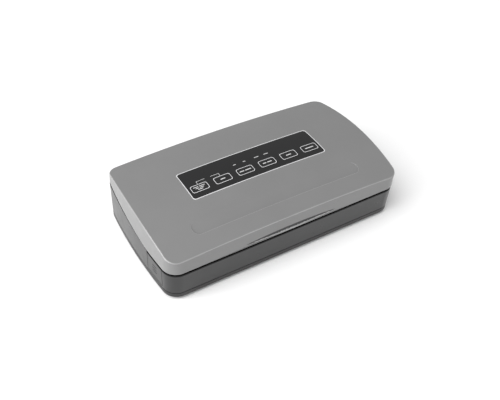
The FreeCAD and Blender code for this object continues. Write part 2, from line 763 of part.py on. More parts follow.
def make_lid_liner():
    plate = lid_form(wall).common(above_seam(liner_rise)).cut(above_seam(liner_rise + wall))
    ribs = []
    for side in (-1, 1):
        y = heater_mid_y + side * (holder_width / 2 + 1)
        ribs.append(block(-heater_half, heater_half, y - 1, y + 1, liner_under + 1, liner_top + 5))
    tab = rod(3.0, V(plunger_x, tray_mid_y, liner_under - 1.3), V(plunger_x, tray_mid_y, liner_top - 0.5))
    liner = joined([plate, tab] + ribs)
    cuts = [gasket_ring(liner_under - 1, liner_under + groove_depth),
            block(-heater_half, heater_half, heater_mid_y - holder_width / 2,
                  heater_mid_y + holder_width / 2, 0, big)]
    slot_half = hook_width / 2
    slot = block(hook_inner_x, hook_outer_x, button_mid_y - slot_half, button_mid_y + slot_half, 0, big)
    cuts += [slot, mirrored(slot)]
    cuts += hinge_cylinders(knuckle_radius + clear, wider(base_spans))
    cuts += hinge_cylinders(knuckle_radius, lid_span)
    cuts.append(scoop_spindle(wall))
    for x, y in lid_post_spots:
        cuts.append(rod(screw_radius, V(x, y, 0), V(x, y, big)))
    return liner.cut(cuts)


def make_press_bar_holder():
    half = holder_width / 2
    holder = block(-heater_half, heater_half, heater_mid_y - half, heater_mid_y + half,
                   liner_under, liner_top + 4)
    bar = press_bar_width / 2
    slot = block(-heater_half, heater_half, heater_mid_y - bar, heater_mid_y + bar, 0, liner_top + 1)
    return holder.cut(slot)


def make_press_bar():
    bar = press_bar_width / 2
    bottom = deck_top + 2 * tape_thickness + clear
    strip = block(-heater_half, heater_half, heater_mid_y - bar, heater_mid_y + bar, bottom, liner_top + 1)
    lower = [e for e in strip.Edges if e.BoundBox.ZMax < bottom + 0.01 and e.BoundBox.XLength > 10]
    return strip.makeFillet(1.0, lower)


def make_upper_gasket():
    bottom = deck_top - groove_depth + gasket_height + clear
    return gasket_ring(bottom, liner_under + groove_depth)


def make_lid_screws():
    screws = []
    for x, y in lid_post_spots:
        under = seam_height(y - screw_head_radius) + liner_rise
        head = rod(screw_head_radius, V(x, y, under - screw_head_height), V(x, y, under))
        shank = rod(screw_radius, V(x, y, under - 0.1), V(x, y, under + 11.5))
        slot = block(x - 2, x + 2, y - 0.4, y + 0.4, 0, under - screw_head_height + 0.5)
        screws.append(joined([head, shank]).cut(slot))
    return group(screws)


# ---------------------------------------------------------------- control panel
def key_x(index):
    return (index - (len(key_names) - 1) / 2) * key_pitch


def key_bar(index, grow, z0, z1):
    return rounded_bar(key_x(index), key_row_y, key_length + 2 * grow, key_depth + 2 * grow,
                       key_corner + grow, z0, z1)


def lens_spots():
    return [(key_x(index) + side * lens_spread, lens_row_y) for index in (2, 3) for side in (-1, 1)]


def make_panel_frame():
    plug = panel_bar(0, frame_under, big).common(below_crown(panel_film))
    flange = panel_bar(panel_lip, frame_under, big).common(below_crown(wall))
    frame = joined([plug, flange])
    cuts = [key_bar(i, clear, 0, big) for i in range(len(key_names))]
    cuts += [rod(lens_radius, V(x, y, 0), V(x, y, big)) for x, y in lens_spots()]
    frame = frame.cut(cuts)
    stands = [rod(3.0, V(x, y, board_top), V(x, y, frame_under + 1)) for x, y in board_screw_spots()]
    frame = joined([frame] + stands)
    return frame.cut([rod(1.0, V(x, y, 0), V(x, y, frame_under + 2)) for x, y in board_screw_spots()])


def board_screw_spots():
    """Between the keys, behind their row, and at the board's ends."""
    return [(side * x, 18.0) for side in (-1, 1) for x in (panel_length / 2 - 6, key_pitch)]


def make_panel_overlay():
    film = panel_bar(0, 0, big).common(crown_slab(0, panel_film))
    cuts = [key_bar(i, clear, 0, big) for i in range(len(key_names))]
    cuts += [rod(lens_radius, V(x, y, 0), V(x, y, big)) for x, y in lens_spots()]
    return film.cut(cuts)


def make_key(index):
    cap = key_bar(index, 0, key_bottom, big).common(below_crown(-key_rise))
    flange = key_bar(index, 1.2, key_bottom, key_bottom + key_flange)
    return joined([cap, flange])


def make_indicator_lenses():
    """Light pipes from the board's lamps up to the panel."""
    pipes = []
    for x, y in lens_spots():
        pipe = rod(lens_radius, V(x, y, board_top), V(x, y, big)).common(below_crown(-0.1))
        pipes.append(pipe)
    return group(pipes)


def make_control_board():
    board = block(-panel_length / 2, panel_length / 2, key_row_y - 12, 24,
                  board_top - board_thickness, board_top)
    return board.cut([rod(1.0, V(x, y, 0), V(x, y, big)) for x, y in board_screw_spots()])


def make_key_switches():
    half = switch_size / 2
    switches = []
    for index in range(len(key_names)):
        x = key_x(index)
        case_top = board_top + switch_height - 1
        case = block(x - half, x + half, key_row_y - half, key_row_y + half, board_top, case_top)
        dome = rod(1.7, V(x, key_row_y, case_top - 0.5), V(x, key_row_y, case_top + 1))
        switches.append(joined([case, dome]))
    return group(switches)


def make_board_screws():
    screws = []
    under = board_top - board_thickness
    for x, y in board_screw_spots():
        head = rod(2.2, V(x, y, under - 1.4), V(x, y, under))
        screws.append(joined([head, rod(1.0, V(x, y, under - 0.5), V(x, y, frame_under + 1.5))]))
    return group(screws)


# ---------------------------------------------------------------- all pieces
button = make_button()
lever = make_lever()
nodes = {
    "base_housing": make_base_housing(),
    "bottom_cover": make_bottom_cover(),
    "feet": make_feet(),
    "cover_screws": make_cover_screws(),
    "work_deck": make_work_deck(),
    "vacuum_tray": make_vacuum_tray(),
    "lower_gasket": make_lower_gasket(),
    "heater_bed": make_heater_bed(),
    "heating_wire": make_heating_wire(),
    "ptfe_tape": make_ptfe_tape(),
    "hinge_pins": make_hinge_pins(),
    "release_button_right": button,
    "release_button_left": mirrored(button),
    "latch_lever_right": lever,
    "latch_lever_left": mirrored(lever),
    "latch_brackets": group([make_latch_bracket(), mirrored(make_latch_bracket())]),
    "latch_pins": group([make_latch_pin(), mirrored(make_latch_pin())]),
    "latch_springs": group([make_latch_spring(), mirrored(make_latch_spring())]),
    "latch_hooks": group([make_hook(), mirrored(make_hook())]),
    "lid_switch": make_lid_switch(),
    "switch_plunger": make_switch_plunger(),
    "pump_motor": make_pump_motor(),
    "motor_mount": make_motor_mount(),
    "pump_crank": make_pump_crank(),
    "pump_head": make_pump_head(),
    "vacuum_hose": make_vacuum_hose(),
    "transformer_core": make_transformer_core(),
    "transformer_winding": make_transformer_winding(),
    "power_board": make_power_board(),
    "board_parts": make_board_parts(),
    "cord_gland": make_cord_gland(),
    "lid_shell": make_lid_shell(),
    "lid_liner": make_lid_liner(),
    "press_bar_holder": make_press_bar_holder(),
    "press_bar": make_press_bar(),
    "upper_gasket": make_upper_gasket(),
    "lid_screws": make_lid_screws(),
    "panel_frame": make_panel_frame(),
    "panel_overlay": make_panel_overlay(),
    "indicator_lenses": make_indicator_lenses(),
    "control_board": make_control_board(),
    "key_switches": make_key_switches(),
    "board_screws": make_board_screws(),
}
for index, name in enumerate(key_names):
    nodes[name] = make_key(index)

os.makedirs("parts", exist_ok=True)
for name, shape in nodes.items():
    shape.exportStep("parts/" + name + ".step")
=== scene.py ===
import bpy
import bmesh
import json
import math
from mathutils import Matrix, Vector
from mathutils.bvhtree import BVHTree


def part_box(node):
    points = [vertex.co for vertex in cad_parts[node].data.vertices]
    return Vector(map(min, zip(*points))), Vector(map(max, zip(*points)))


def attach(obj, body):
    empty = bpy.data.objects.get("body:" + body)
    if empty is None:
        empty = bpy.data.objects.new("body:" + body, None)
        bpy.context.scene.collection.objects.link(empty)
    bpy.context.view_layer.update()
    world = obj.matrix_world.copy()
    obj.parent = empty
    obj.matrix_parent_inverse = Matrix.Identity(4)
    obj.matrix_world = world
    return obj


# A countertop vacuum sealer: surface materials, printed panel graphics and a blank rating label
# on its fixed frame, with floor, light and camera. Lengths are in metres.
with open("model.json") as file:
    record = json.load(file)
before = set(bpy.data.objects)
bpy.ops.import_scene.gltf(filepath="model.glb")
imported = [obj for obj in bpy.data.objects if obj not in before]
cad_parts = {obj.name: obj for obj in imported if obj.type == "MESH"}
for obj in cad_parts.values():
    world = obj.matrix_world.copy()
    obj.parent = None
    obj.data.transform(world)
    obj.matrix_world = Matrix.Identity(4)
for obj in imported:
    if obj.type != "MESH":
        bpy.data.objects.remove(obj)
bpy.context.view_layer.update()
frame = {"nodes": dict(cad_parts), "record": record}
MM = 0.001

# ---------------------------------------------------------------- parting line, as the CAD has it
SEAM_FRONT_Z = 50.0 * MM
SEAM_BACK_Z = 69.0 * MM
SEAM_KINK_Y = -37.0 * MM
BACK_Y = 97.25 * MM
SEAM_SLOPE = (SEAM_BACK_Z - SEAM_FRONT_Z) / (BACK_Y - SEAM_KINK_Y)
RIM_DEPTH = 2.55 * MM       # half the gap and the rim's step
SHADE_BAND_DEPTH = 4.6 * MM       # from the parting line to the lower edge of the painted shade strip
RIM_END_Y = -44.9 * MM      # the rim's step, its painted shade and the painted shade strip stop behind this
DECK_EDGE_X = 179.0 * MM    # deck faces outside these two belong to its upright edge
DECK_EDGE_Y = -96.0 * MM
UPRIGHT_FACING = 0.5        # faces tilted up less than this count as upright

# ---------------------------------------------------------------- places on the lid, as the CAD has them
LID_FRONT_Y = -97.0 * MM
LID_SIDE_X = 174.0 * MM
LID_BACK_Y = 92.0 * MM
LID_BACK_Z = 79.0 * MM
LID_EDGE_Z = 70.0 * MM
HOLLOW_Y = -98.7 * MM
HOLLOW_HALF = 80.0 * MM
HOLLOW_Z = 55.7 * MM
HOLLOW_REACH = 4.2 * MM
LIP_FACING = 0.8            # the hollow's lip faces up more than this
ROUNDED_FACING = (0.2, 0.95)    # how far the top edge's rounding faces up

# ---------------------------------------------------------------- panel print and rating label
KEY_FLANGE = 1.2 * MM
PANEL_CORNER = 4.0 * MM
LABEL_X = -60.0 * MM
LABEL_Y = 26.0 * MM
LABEL_LENGTH = 62.0 * MM
LABEL_DEPTH = 34.0 * MM
LABEL_THICKNESS = 0.08 * MM
LABEL_CORNER = 2.0 * MM
COVER_UNDERSIDE_Z = 4.0 * MM
INK = 0.06 * MM             # ink stands this far above its surface
PRINT_SPACING = 4.0 * MM    # longest straight run of a printed outline between two points
SAME_PLACE = 1e-7           # points nearer than this are one point
KEY_OUTLINE_INSET = 0.5 * MM
KEY_OUTLINE_RADIUS = 3.0 * MM
KEY_OUTLINE_WIDTH = 0.7 * MM
BORDER_INSET = 0.3 * MM
BORDER_WIDTH = 1.1 * MM
DASH_WIDTH = 1.5 * MM
NARROW_DASH = 1.1 * MM
DASH_END_STEPS = 5
DASH_END_REACH = 0.15       # share of the half width left at a dash's tip
WORD_GAP = 1.4 * MM
LINE_PITCH = 2.6 * MM
BRACKET_RISE = 5.3 * MM     # bracket line behind its key's back edge
BRACKET_LENGTH = 13.0 * MM
BRACKET_WIDTH = 0.55 * MM
BRACKET_GAP = 0.7 * MM      # from the key's back edge to the bracket's foot
BRACKET_ASIDE = 0.5 * MM    # the foot's distance from the key's middle
LABEL_RISE = 9.8 * MM       # row of labels behind the two middle keys
LABEL_SPREAD = 8.0 * MM
LABEL_WORDS = (4.5, 7.5)    # dash length in mm of the labels over each middle key
# words on each key as dash lengths in mm, one list per line of print
LEGENDS = {
    "key_vacuum_seal": [[7.5, 9.0], [5.0, 6.5], [8.0]],
    "key_seal": [[7.5]],
    "key_food_mode": [[7.5, 10.0]],
    "key_speed": [[6.0, 7.5]],
    "key_pulse": [[8.5]],
    "key_canister": [[14.5]],
}

# ---------------------------------------------------------------- colours and surface depths
LID_GREY = (0.192, 0.192, 0.192)
BASE_GREY = (0.012, 0.012, 0.0125)
# black painted as shade under the parting gap
GAP_SHADE_BLACK = (0.001, 0.001, 0.001, 1.0)
FULLY_ROUGH = (1.0, 1.0, 1.0, 1.0)
EDGE_WIDTH = 1.2 * MM       # edges lightened as rubbed wear and painted highlight reach this far
EDGE_LIGHTER = 2.2
COAT_ROUGHNESS = 0.15
GRAIN_DEPTH = 0.04 * MM
METAL_LINE_DEPTH = 0.03 * MM
PORE_DEPTH = 0.15 * MM
THREAD_DEPTH = 0.1 * MM
TRACK_DEPTH = 0.05 * MM

# ---------------------------------------------------------------- floor, lights, camera
FLOOR_HALF = 6.0
FLOOR_Z = -0.2 * MM
AIM = (0, 0, 0.05)          # the lights look at this point
KEY_DIRECTION = (-0.55, -0.12, 0.83)
KEY_STRENGTH = 2.5
KEY_ANGLE = 50
SUN_DISTANCE = 3.0
WORLD_STRENGTH = 0.42
CAMERA_PLACE = (-0.4418, -0.6167, 0.7296)
CAMERA_AZIMUTH = math.radians(28.2)
CAMERA_ELEVATION = math.radians(38.7)
CAMERA_LENS = 50.34
CAMERA_SHIFT = (0.1342, -0.1146)


# ---------------------------------------------------------------- material helpers
def new_material(name):
    material = bpy.data.materials.new(name)
    material.use_nodes = True
    tree = material.node_tree
    tree.nodes.clear()
    shader = tree.nodes.new("ShaderNodeBsdfPrincipled")
    output = tree.nodes.new("ShaderNodeOutputMaterial")
    tree.links.new(shader.outputs["BSDF"], output.inputs["Surface"])
    return material, tree, shader


def object_space(tree):
    return tree.nodes.new("ShaderNodeTexCoord").outputs["Object"]


def noise(tree, scale, detail=3.0, stretch=(1.0, 1.0, 1.0)):
    """Noise in metres of the object's own space."""
    mapping = tree.nodes.new("ShaderNodeMapping")
    mapping.inputs["Scale"].default_value = stretch
    texture = tree.nodes.new("ShaderNodeTexNoise")
    texture.inputs["Scale"].default_value = scale
    texture.inputs["Detail"].default_value = detail
    tree.links.new(object_space(tree), mapping.inputs["Vector"])
    tree.links.new(mapping.outputs["Vector"], texture.inputs["Vector"])
    return texture.outputs["Fac"]


def ramp(tree, source, low, high, low_at=0.35, high_at=0.65):
    """Maps a grey value to the range low..high."""
    node = tree.nodes.new("ShaderNodeMapRange")
    node.inputs["From Min"].default_value = low_at
    node.inputs["From Max"].default_value = high_at
    node.inputs["To Min"].default_value = low
    node.inputs["To Max"].default_value = high
    tree.links.new(source, node.inputs["Value"])
    return node.outputs["Result"]


def blend(tree, factor, source, color):
    """Mixes a linked colour or value towards a fixed RGBA colour."""
    node = tree.nodes.new("ShaderNodeMix")
    node.data_type = "RGBA"
    node.inputs["B"].default_value = color
    tree.links.new(factor, node.inputs["Factor"])
    tree.links.new(source, node.inputs["A"])
    return node.outputs["Result"]


def shade_mix(tree, factor, color_a, color_b):
    """Mixes two fixed colours."""
    node = tree.nodes.new("ShaderNodeMix")
    node.data_type = "RGBA"
    node.inputs["A"].default_value = (*color_a, 1.0)
    node.inputs["B"].default_value = (*color_b, 1.0)
    tree.links.new(factor, node.inputs["Factor"])
    return node.outputs["Result"]


def add_bump(tree, shader, height, strength, distance):
    node = tree.nodes.new("ShaderNodeBump")
    node.inputs["Strength"].default_value = strength
    node.inputs["Distance"].default_value = distance
    tree.links.new(height, node.inputs["Height"])
    tree.links.new(node.outputs["Normal"], shader.inputs["Normal"])


def edge_mask(tree, radius):
    """Near 1 close to a convex or concave edge, 0 on open faces."""
    rounded = tree.nodes.new("ShaderNodeBevel")
    rounded.samples = 4
    rounded.inputs["Radius"].default_value = radius
    flat = tree.nodes.new("ShaderNodeNewGeometry")
    dot = tree.nodes.new("ShaderNodeVectorMath")
    dot.operation = "DOT_PRODUCT"
    tree.links.new(rounded.outputs["Normal"], dot.inputs[0])
    tree.links.new(flat.outputs["Normal"], dot.inputs[1])
    return ramp(tree, dot.outputs["Value"], 1.0, 0.0, 0.75, 0.99)


def combine(tree, value_a, value_b, operation):
    """Math on a linked value with a number or another linked value."""
    node = tree.nodes.new("ShaderNodeMath")
    node.operation = operation
    tree.links.new(value_a, node.inputs[0])
    if isinstance(value_b, float):
        node.inputs[1].default_value = value_b
    else:
        tree.links.new(value_b, node.inputs[1])
    return node.outputs["Value"]


def tinted(color, factor):
    return tuple(min(1.0, c * factor) for c in color)


def plastic(name, color, rough, spread=0.05, grain=2600.0, bump=0.12, tone=0.05, edge_wear_and_highlight=0.0, coat=0.0):
    """Moulded plastic: spark-eroded grain, cloudy tone, uneven gloss, and edges lightened partly as rubbed
    wear and partly as painted highlight.
    """
    material, tree, shader = new_material(name)
    cloud = noise(tree, 14.0, 4.0)
    patches = ramp(tree, cloud, 0.0, 1.0)
    surface = shade_mix(tree, patches, tinted(color, 1 - tone), tinted(color, 1 + tone))
    if edge_wear_and_highlight:
        # lighter edges: partly rubbed wear, partly painted highlight
        edge = combine(tree, edge_mask(tree, EDGE_WIDTH), edge_wear_and_highlight, "MULTIPLY")
        surface = blend(tree, edge, surface, (*tinted(color, EDGE_LIGHTER), 1.0))
    tree.links.new(surface, shader.inputs["Base Color"])
    gloss = ramp(tree, noise(tree, 60.0, 5.0), rough - spread, rough + spread, 0.3, 0.7)
    tree.links.new(gloss, shader.inputs["Roughness"])
    shader.inputs["Coat Weight"].default_value = coat
    shader.inputs["Coat Roughness"].default_value = COAT_ROUGHNESS
    add_bump(tree, shader, noise(tree, grain, 2.0), bump, GRAIN_DEPTH)
    return material


def painted_shade_below_gap(material):
    """Painted shade: blackens the outer wall just under the parting gap, along the front part only."""
    tree = material.node_tree
    shader = tree.nodes["Principled BSDF"]
    split = tree.nodes.new("ShaderNodeSeparateXYZ")
    tree.links.new(object_space(tree), split.inputs["Vector"])
    behind_kink = combine(tree, split.outputs["Y"], -SEAM_KINK_Y, "ADD")
    run = combine(tree, behind_kink, 0.0, "MAXIMUM")
    rise = combine(tree, run, SEAM_SLOPE, "MULTIPLY")
    levelled = combine(tree, split.outputs["Z"], rise, "SUBTRACT")
    above = combine(tree, levelled, SEAM_FRONT_Z - SHADE_BAND_DEPTH, "GREATER_THAN")
    in_front = combine(tree, split.outputs["Y"], RIM_END_Y, "LESS_THAN")
    mask = combine(tree, above, in_front, "MULTIPLY")
    for socket_name, dark in (("Base Color", GAP_SHADE_BLACK), ("Roughness", FULLY_ROUGH)):
        socket = shader.inputs[socket_name]
        tree.links.new(blend(tree, mask, socket.links[0].from_socket, dark), socket)
    return material


def painted_shade_black(name):
    """Flat black with no reflection, painted as the shade inside the parting gap."""
    material, tree, shader = new_material(name)
    cloud = noise(tree, 300.0)
    blacks = shade_mix(tree, cloud, (0.0015, 0.0015, 0.0015), (0.003, 0.003, 0.003))
    tree.links.new(blacks, shader.inputs["Base Color"])
    shader.inputs["Roughness"].default_value = 1.0
    shader.inputs["Specular IOR Level"].default_value = 0.0
    return material


def metal(name, color, rough, stretch=(1.0, 1.0, 1.0), scale=900.0, bump=0.15):
    """Bright or dull metal with fine drawn or rolled lines along one axis."""
    material, tree, shader = new_material(name)
    shader.inputs["Metallic"].default_value = 1.0
    lines = noise(tree, scale, 4.0, stretch)
    cloud = noise(tree, 90.0, 3.0)
    tree.links.new(shade_mix(tree, ramp(tree, cloud, 0.0, 1.0), tinted(color, 0.85), tinted(color, 1.1)),
                   shader.inputs["Base Color"])
    tree.links.new(ramp(tree, lines, rough - 0.08, rough + 0.12), shader.inputs["Roughness"])
    add_bump(tree, shader, lines, bump, METAL_LINE_DEPTH)
    return material


def rubber(name, color, rough=0.75, pores=1400.0, bump=0.35):
    """Soft rubber or foam with open pores and a dusty bloom."""
    material, tree, shader = new_material(name)
    dust = noise(tree, 35.0, 5.0)
    tree.links.new(shade_mix(tree, ramp(tree, dust, 0.0, 1.0), tinted(color, 0.85), tinted(color, 1.35)),
                   shader.inputs["Base Color"])
    tree.links.new(ramp(tree, dust, rough - 0.08, rough + 0.08), shader.inputs["Roughness"])
    cells = tree.nodes.new("ShaderNodeTexVoronoi")
    cells.inputs["Scale"].default_value = pores
    tree.links.new(object_space(tree), cells.inputs["Vector"])
    add_bump(tree, shader, cells.outputs["Distance"], bump, PORE_DEPTH)
    return material


def woven(name, color, pitch, rough=0.45):
    """Coated glass cloth: two crossed sets of threads."""
    material, tree, shader = new_material(name)
    threads = []
    for direction in ("X", "Y"):
        wave = tree.nodes.new("ShaderNodeTexWave")
        wave.bands_direction = direction
        wave.inputs["Scale"].default_value = 1.0 / pitch / 6.0
        wave.inputs["Distortion"].default_value = 0.4
        tree.links.new(object_space(tree), wave.inputs["Vector"])
        threads.append(wave.outputs["Fac"])
    weave = combine(tree, threads[0], threads[1], "MULTIPLY")
    surface = shade_mix(tree, weave, tinted(color, 0.8), tinted(color, 1.15))
    tree.links.new(surface, shader.inputs["Base Color"])
    tree.links.new(ramp(tree, noise(tree, 80.0), rough - 0.1, rough + 0.1), shader.inputs["Roughness"])
    add_bump(tree, shader, weave, 0.4, THREAD_DEPTH)
    return material


def circuit_board(name, color):
    """Green laminate with faint tracks under the solder mask."""
    material, tree, shader = new_material(name)
    brick = tree.nodes.new("ShaderNodeTexBrick")
    brick.inputs["Scale"].default_value = 160.0
    brick.inputs["Mortar Size"].default_value = 0.03
    tree.links.new(object_space(tree), brick.inputs["Vector"])
    surface = shade_mix(tree, brick.outputs["Fac"], color, tinted(color, 1.7))
    tree.links.new(surface, shader.inputs["Base Color"])
    tree.links.new(ramp(tree, noise(tree, 120.0), 0.25, 0.4), shader.inputs["Roughness"])
    add_bump(tree, shader, brick.outputs["Fac"], 0.3, TRACK_DEPTH)
    return material


def clear_plastic(name, color):
    """Tinted, half clear lens."""
    material, tree, shader = new_material(name)
    shader.inputs["Transmission Weight"].default_value = 0.5
    shader.inputs["IOR"].default_value = 1.49
    surface = shade_mix(tree, noise(tree, 400.0), tinted(color, 0.9), color)
    tree.links.new(surface, shader.inputs["Base Color"])
    tree.links.new(ramp(tree, noise(tree, 700.0), 0.15, 0.3), shader.inputs["Roughness"])
    return material


# ---------------------------------------------------------------- materials of the record's slots
# plastic: name, colour, roughness, spread of roughness, grain scale, bump, spread of tone
# rubber: name, colour, roughness, pore scale, bump
# metal: name, colour, roughness, stretch of its lines, line scale, bump
base_plastic = plastic("base_plastic", BASE_GREY, 0.3, 0.03, 2600.0, 0.06, 0.05, coat=0.15)
slot_materials = {
    "lid_plastic": plastic("lid_plastic", LID_GREY, 0.42, 0.04, 3000.0, 0.08, 0.02, edge_wear_and_highlight=0.6, coat=0.35),
    # its outer wall gets painted shade just under the parting gap
    "base_plastic": painted_shade_below_gap(base_plastic),
    "cover_plastic": plastic("cover_plastic", BASE_GREY, 0.38, 0.06, 1800.0, 0.15, 0.06, edge_wear_and_highlight=0.3),
    "deck_plastic": plastic("deck_plastic", (0.085, 0.086, 0.088), 0.45, 0.06, 1900.0, 0.2, 0.06, edge_wear_and_highlight=0.2),
    "panel_film": plastic("panel_film", (0.012, 0.012, 0.0125), 0.33, 0.03, 5200.0, 0.06, 0.04),
    "panel_plastic": plastic("panel_plastic", (0.02, 0.02, 0.021), 0.5),
    "key_film": plastic("key_film", (0.013, 0.013, 0.0135), 0.31, 0.03, 5200.0, 0.06, 0.04),
    "lens_clear": clear_plastic("lens_clear", (0.05, 0.05, 0.055)),
    "foot_rubber": rubber("foot_rubber", (0.022, 0.022, 0.022)),
    "seal_foam": rubber("seal_foam", (0.03, 0.03, 0.031), 0.85, 900.0, 0.6),
    "press_silicone": rubber("press_silicone", (0.36, 0.05, 0.03), 0.5, 2600.0, 0.15),
    "hose_silicone": rubber("hose_silicone", (0.6, 0.59, 0.55), 0.35, 2600.0, 0.05),
    "tape_cloth": woven("tape_cloth", (0.36, 0.25, 0.14), 0.5 * MM),
    "steel": metal("steel", (0.58, 0.58, 0.57), 0.28),
    "heater_metal": metal("heater_metal", (0.42, 0.4, 0.37), 0.35, (0.05, 1.0, 1.0)),
    "board_laminate": circuit_board("board_laminate", (0.02, 0.11, 0.045)),
    "part_black": plastic("part_black", (0.022, 0.022, 0.024), 0.5, 0.08, 1600.0, 0.25),
    "core_steel": metal("core_steel", (0.2, 0.19, 0.18), 0.5, (1.0, 0.05, 1.0), 2500.0, 0.6),
    "coil_copper": metal("coil_copper", (0.5, 0.2, 0.08), 0.35, (0.05, 0.05, 1.0), 3500.0, 0.7),
    "tray_plastic": plastic("tray_plastic", (0.17, 0.172, 0.178), 0.28, 0.04, 3400.0, 0.05, 0.04),
}
silver_ink = plastic("silver_ink", (0.68, 0.68, 0.69), 0.4, 0.05, 4200.0, 0.08, 0.06)
pale_ink = plastic("pale_ink", (0.6, 0.6, 0.6), 0.5, 0.05, 4200.0, 0.08, 0.06)
label_foil = metal("label_foil", (0.62, 0.62, 0.63), 0.34, (1.0, 0.04, 1.0), 1600.0, 0.12)

node_slots = {part["node"]: part["material_slot"] for part in frame["record"]["subparts"]}
for node_name, node_object in frame["nodes"].items():
    finish = slot_materials[node_slots[node_name]]
    if not node_object.data.materials:
        node_object.data.materials.append(finish)
    for index in range(len(node_object.data.materials)):
        node_object.data.materials[index] = finish


def paint_gap_shade():
    """Paints shade inside the parting gap: the stepped rim and the deck's upright edge get their own matt
    black.
    """
    housing = frame["nodes"]["base_housing"]
    housing.data.materials.append(painted_shade_black("rim_painted_shade"))
    rim_shade_index = len(housing.data.materials) - 1
    for face in housing.data.polygons:
        place = housing.matrix_world @ face.center
        seam_z = SEAM_FRONT_Z + max(0.0, place.y - SEAM_KINK_Y) * SEAM_SLOPE
        if place.y < RIM_END_Y and place.z > seam_z - RIM_DEPTH:
            face.material_index = rim_shade_index
    deck = frame["nodes"]["work_deck"]
    deck.data.materials.append(painted_shade_black("deck_edge_painted_shade"))
    painted_edge_index = len(deck.data.materials) - 1
    for face in deck.data.polygons:
        place = deck.matrix_world @ face.center
        at_edge = abs(place.x) > DECK_EDGE_X or place.y < DECK_EDGE_Y
        if at_edge and abs(face.normal.z) < UPRIGHT_FACING:
            face.material_index = painted_edge_index


def is_rounded_edge(place, normal):
    """On the rounding along the lid's top edge."""
    at_back = place.y > LID_BACK_Y and place.z > LID_BACK_Z
    near_rim = place.y < LID_FRONT_Y or abs(place.x) > LID_SIDE_X or at_back
    least, most = ROUNDED_FACING
    return near_rim and place.z > LID_EDGE_Z and least < normal.z < most


def is_in_hollow(place, normal):
    """In the finger hollow of the lid's front wall."""
    beside = abs(place.x) < HOLLOW_HALF and abs(place.z - HOLLOW_Z) < HOLLOW_REACH
    return place.y < HOLLOW_Y and beside and normal.y < 0


def paint_lid_highlights_and_shade():
    """Painted highlight on the rounding of the top edge, and painted shade in the finger hollow over a
    painted highlight on its lower lip.
    """
    lid = frame["nodes"]["lid_shell"]
    painted_edge_index = len(lid.data.materials)
    hollow_shade_index = painted_edge_index + 1
    lip_highlight_index = painted_edge_index + 2
    for painted_look in (
        # lit and shaded copies of the lid plastic: painted highlight on the edge, painted shade in the
        # hollow, painted highlight on the lip
        plastic("lid_edge_painted_highlight", tinted(LID_GREY, 1.5), 0.36, 0.04, 3000.0, 0.08, 0.02, coat=0.4),
        plastic("lid_hollow_painted_shade", tinted(LID_GREY, 0.4), 0.55, 0.04, 3000.0, 0.1, 0.02),
        plastic("lid_lip_painted_highlight", tinted(LID_GREY, 2.2), 0.36, 0.04, 3000.0, 0.08, 0.02, coat=0.3),
    ):
        lid.data.materials.append(painted_look)
    for face in lid.data.polygons:
        place = lid.matrix_world @ face.center
        if is_rounded_edge(place, face.normal):
            face.material_index = painted_edge_index
        elif is_in_hollow(place, face.normal):
            face.material_index = lip_highlight_index if face.normal.z > LIP_FACING else hollow_shade_index


# painted shade inside the parting gap
paint_gap_shade()
# painted highlights and painted shade on the lid
paint_lid_highlights_and_shade()


# ---------------------------------------------------------------- thin printed pieces
def new_object(name, mesh, material):
    """Turns a finished bmesh into a linked object."""
    data = bpy.data.meshes.new(name)
    mesh.to_mesh(data)
    mesh.free()
    data.materials.append(material)
    piece = bpy.data.objects.new(name, data)
    bpy.context.scene.collection.objects.link(piece)
    return piece


def tree_of(node_name):
    """Search tree of a node's surface, for heights."""
    node_object = frame["nodes"][node_name]
    points = [node_object.matrix_world @ vertex.co for vertex in node_object.data.vertices]
    return BVHTree.FromPolygons(points, [tuple(p.vertices) for p in node_object.data.polygons])


def height_on(surface, x, y):
    """Height of a surface straight below a point."""
    place, _, _, _ = surface.ray_cast(Vector((x, y, 1.0)), Vector((0, 0, -1)))
    return place.z if place else None


def rounded_loop(cx, cy, length, depth, radius, steps=6):
    """Closed outline of a rounded rectangle, counter-clockwise."""
    loop = []
    corners = [(1, 1, 0), (-1, 1, 90), (-1, -1, 180), (1, -1, 270)]
    for sign_x, sign_y, start in corners:
        ox = cx + sign_x * (length / 2 - radius)
        oy = cy + sign_y * (depth / 2 - radius)
        for step in range(steps + 1):
            angle = math.radians(start + 90 * step / steps)
            loop.append((ox + radius * math.cos(angle), oy + radius * math.sin(angle)))
    return loop


def divided(loop, spacing):
    """The same outline with more points along its straight runs."""
    result = []
    for (x0, y0), (x1, y1) in zip(loop, loop[1:] + loop[:1]):
        count = max(1, math.ceil(math.hypot(x1 - x0, y1 - y0) / spacing))
        result += [(x0 + (x1 - x0) * i / count, y0 + (y1 - y0) * i / count) for i in range(count)]
    return result


